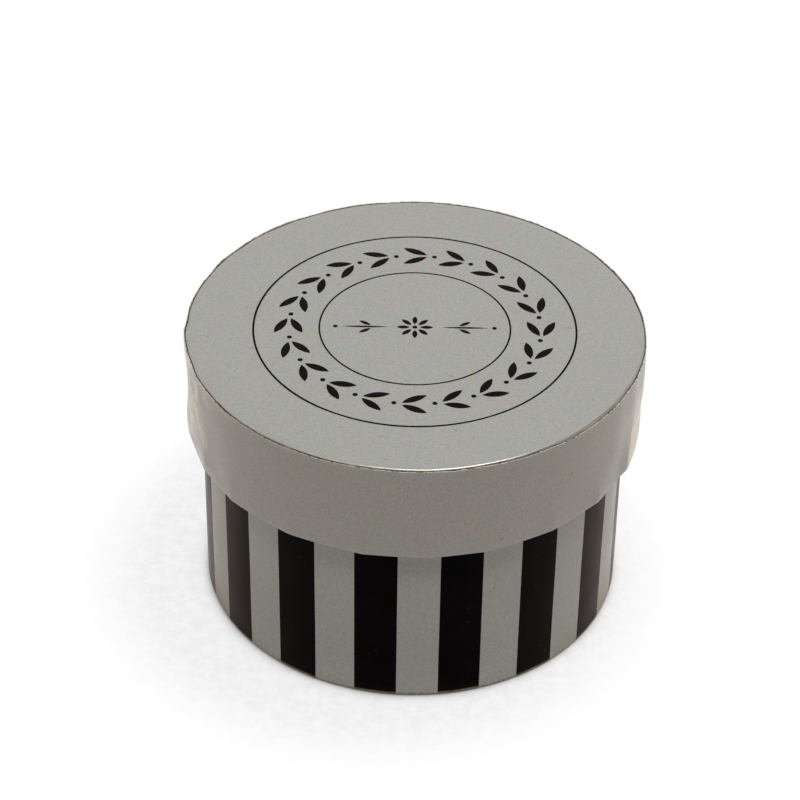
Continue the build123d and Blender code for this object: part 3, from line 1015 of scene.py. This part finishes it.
def white_room(brightness):
    """A room that looks white and lights the box with a given brightness."""
    room = bpy.data.worlds.new("white_room")
    room.use_nodes = True
    tree = room.node_tree
    lighting = {"Value": seen_straight(tree), 1: 0.0, 2: 1.0, 3: brightness, 4: 1.0}
    strength = add(tree, "MapRange", lighting, **EASING).outputs[0]
    fill(tree, tree.nodes["Background"], {"Color": (1, 1, 1, 1), "Strength": strength})
    return room


def stand_lamp(name, place, target, side, power, tint):
    """A soft square lamp that faces a point."""
    lamp = bpy.data.lights.new(name, "AREA")
    lamp.shape = "RECTANGLE"
    lamp.size = lamp.size_y = side
    lamp.energy = power
    lamp.color = linear(tint)[:3]
    way = Vector(target) - Vector(place)
    turn = way.to_track_quat("-Z", "Y").to_matrix().to_4x4()
    in_scene(name, lamp).matrix_world = Matrix.Translation(place) @ turn


def set_camera(target, studio):
    """A camera in which a point shows at the pixel of the lid's centre.

    It looks down by the view height and leans by the roll. From the point it stands back by the
    distance, and aside by that pixel's place times the distance over the focal length.
    """
    half = PICTURE_WIDTH / 2
    focal = half / np.tan(studio.view_angle / 2)
    tilt, roll = studio.view_height, studio.view_roll
    ahead = Vector((0, cos(tilt), -sin(tilt)))
    level = Vector((1, 0, 0))
    upright = Vector((0, sin(tilt), cos(tilt)))
    right = level * cos(roll) + upright * sin(roll)
    up = upright * cos(roll) - level * sin(roll)
    aside, down = ((pixel - half) / focal * studio.view_distance for pixel in LID_CENTRE)
    place = Vector(target) - ahead * studio.view_distance - right * aside + up * down
    lens = bpy.data.cameras.new("camera")
    lens.lens = focal / PICTURE_WIDTH * lens.sensor_width
    lens.clip_start = 0.01
    camera = in_scene("camera", lens)
    camera.matrix_world = Matrix.Translation(place) @ Matrix((right, up, -ahead)).transposed().to_4x4()
    return camera


class GIFTBOX_OT_studio(bpy.types.Operator):
    """Set up the floor, the white room, the lamps and the camera"""

    bl_idname = "gift_box.studio"
    bl_label = "Studio"

    def execute(self, context):
        scene = context.scene
        studio = scene.gift_box_studio
        lay_floor(scene_colours().floor)
        scene.world = white_room(studio.room)
        top = (0, 0, scene_sizes().height)
        for name, place, side, tint in LAMPS:
            stand_lamp(name, place, top, side, getattr(studio, name), tint)
        scene.camera = set_camera(top, studio)
        scene.view_settings.view_transform = "Standard"
        return {"FINISHED"}


OPERATORS = (
    GIFTBOX_OT_lid_top_paper,
    GIFTBOX_OT_lid_side_paper,
    GIFTBOX_OT_base_side_paper,
    GIFTBOX_OT_base_stripes,
    GIFTBOX_OT_kept_finishes,
    GIFTBOX_OT_studio,
)

GROUPS = {
    "gift_box_sizes": GiftBoxSizes,
    "gift_box_colours": GiftBoxColours,
    "gift_box_studio": GiftBoxStudio,
}


class GIFTBOX_PT_sidebar(bpy.types.Panel):
    """The box's settings and the buttons that make its pieces"""

    bl_idname = "GIFTBOX_PT_sidebar"
    bl_label = "Round Gift Box"
    bl_space_type = "VIEW_3D"
    bl_region_type = "UI"
    bl_category = "Gift Box"

    def draw(self, context):
        layout = self.layout
        for name, group in GROUPS.items():
            box = layout.box()
            box.label(text=group.bl_rna.name)
            for setting in group.__annotations__:
                box.prop(getattr(context.scene, name), setting)
        for operator in OPERATORS:
            layout.operator(operator.bl_idname)


def register():
    """Make the classes known to Blender and put the settings on the scene."""
    for group in (*GROUPS.values(), *OPERATORS, GIFTBOX_PT_sidebar):
        bpy.utils.register_class(group)
    for name, group in GROUPS.items():
        setattr(bpy.types.Scene, name, PointerProperty(type=group))


def unregister():
    """Take the settings and the classes away again."""
    for name in GROUPS:
        delattr(bpy.types.Scene, name)
    for group in (GIFTBOX_PT_sidebar, *reversed(OPERATORS), *reversed(GROUPS.values())):
        bpy.utils.unregister_class(group)


def main():
    """Make every piece and the studio."""
    register()
    for operator in OPERATORS:
        group, name = operator.bl_idname.split(".")
        getattr(getattr(bpy.ops, group), name)()


if __name__ == "__main__":
    main()
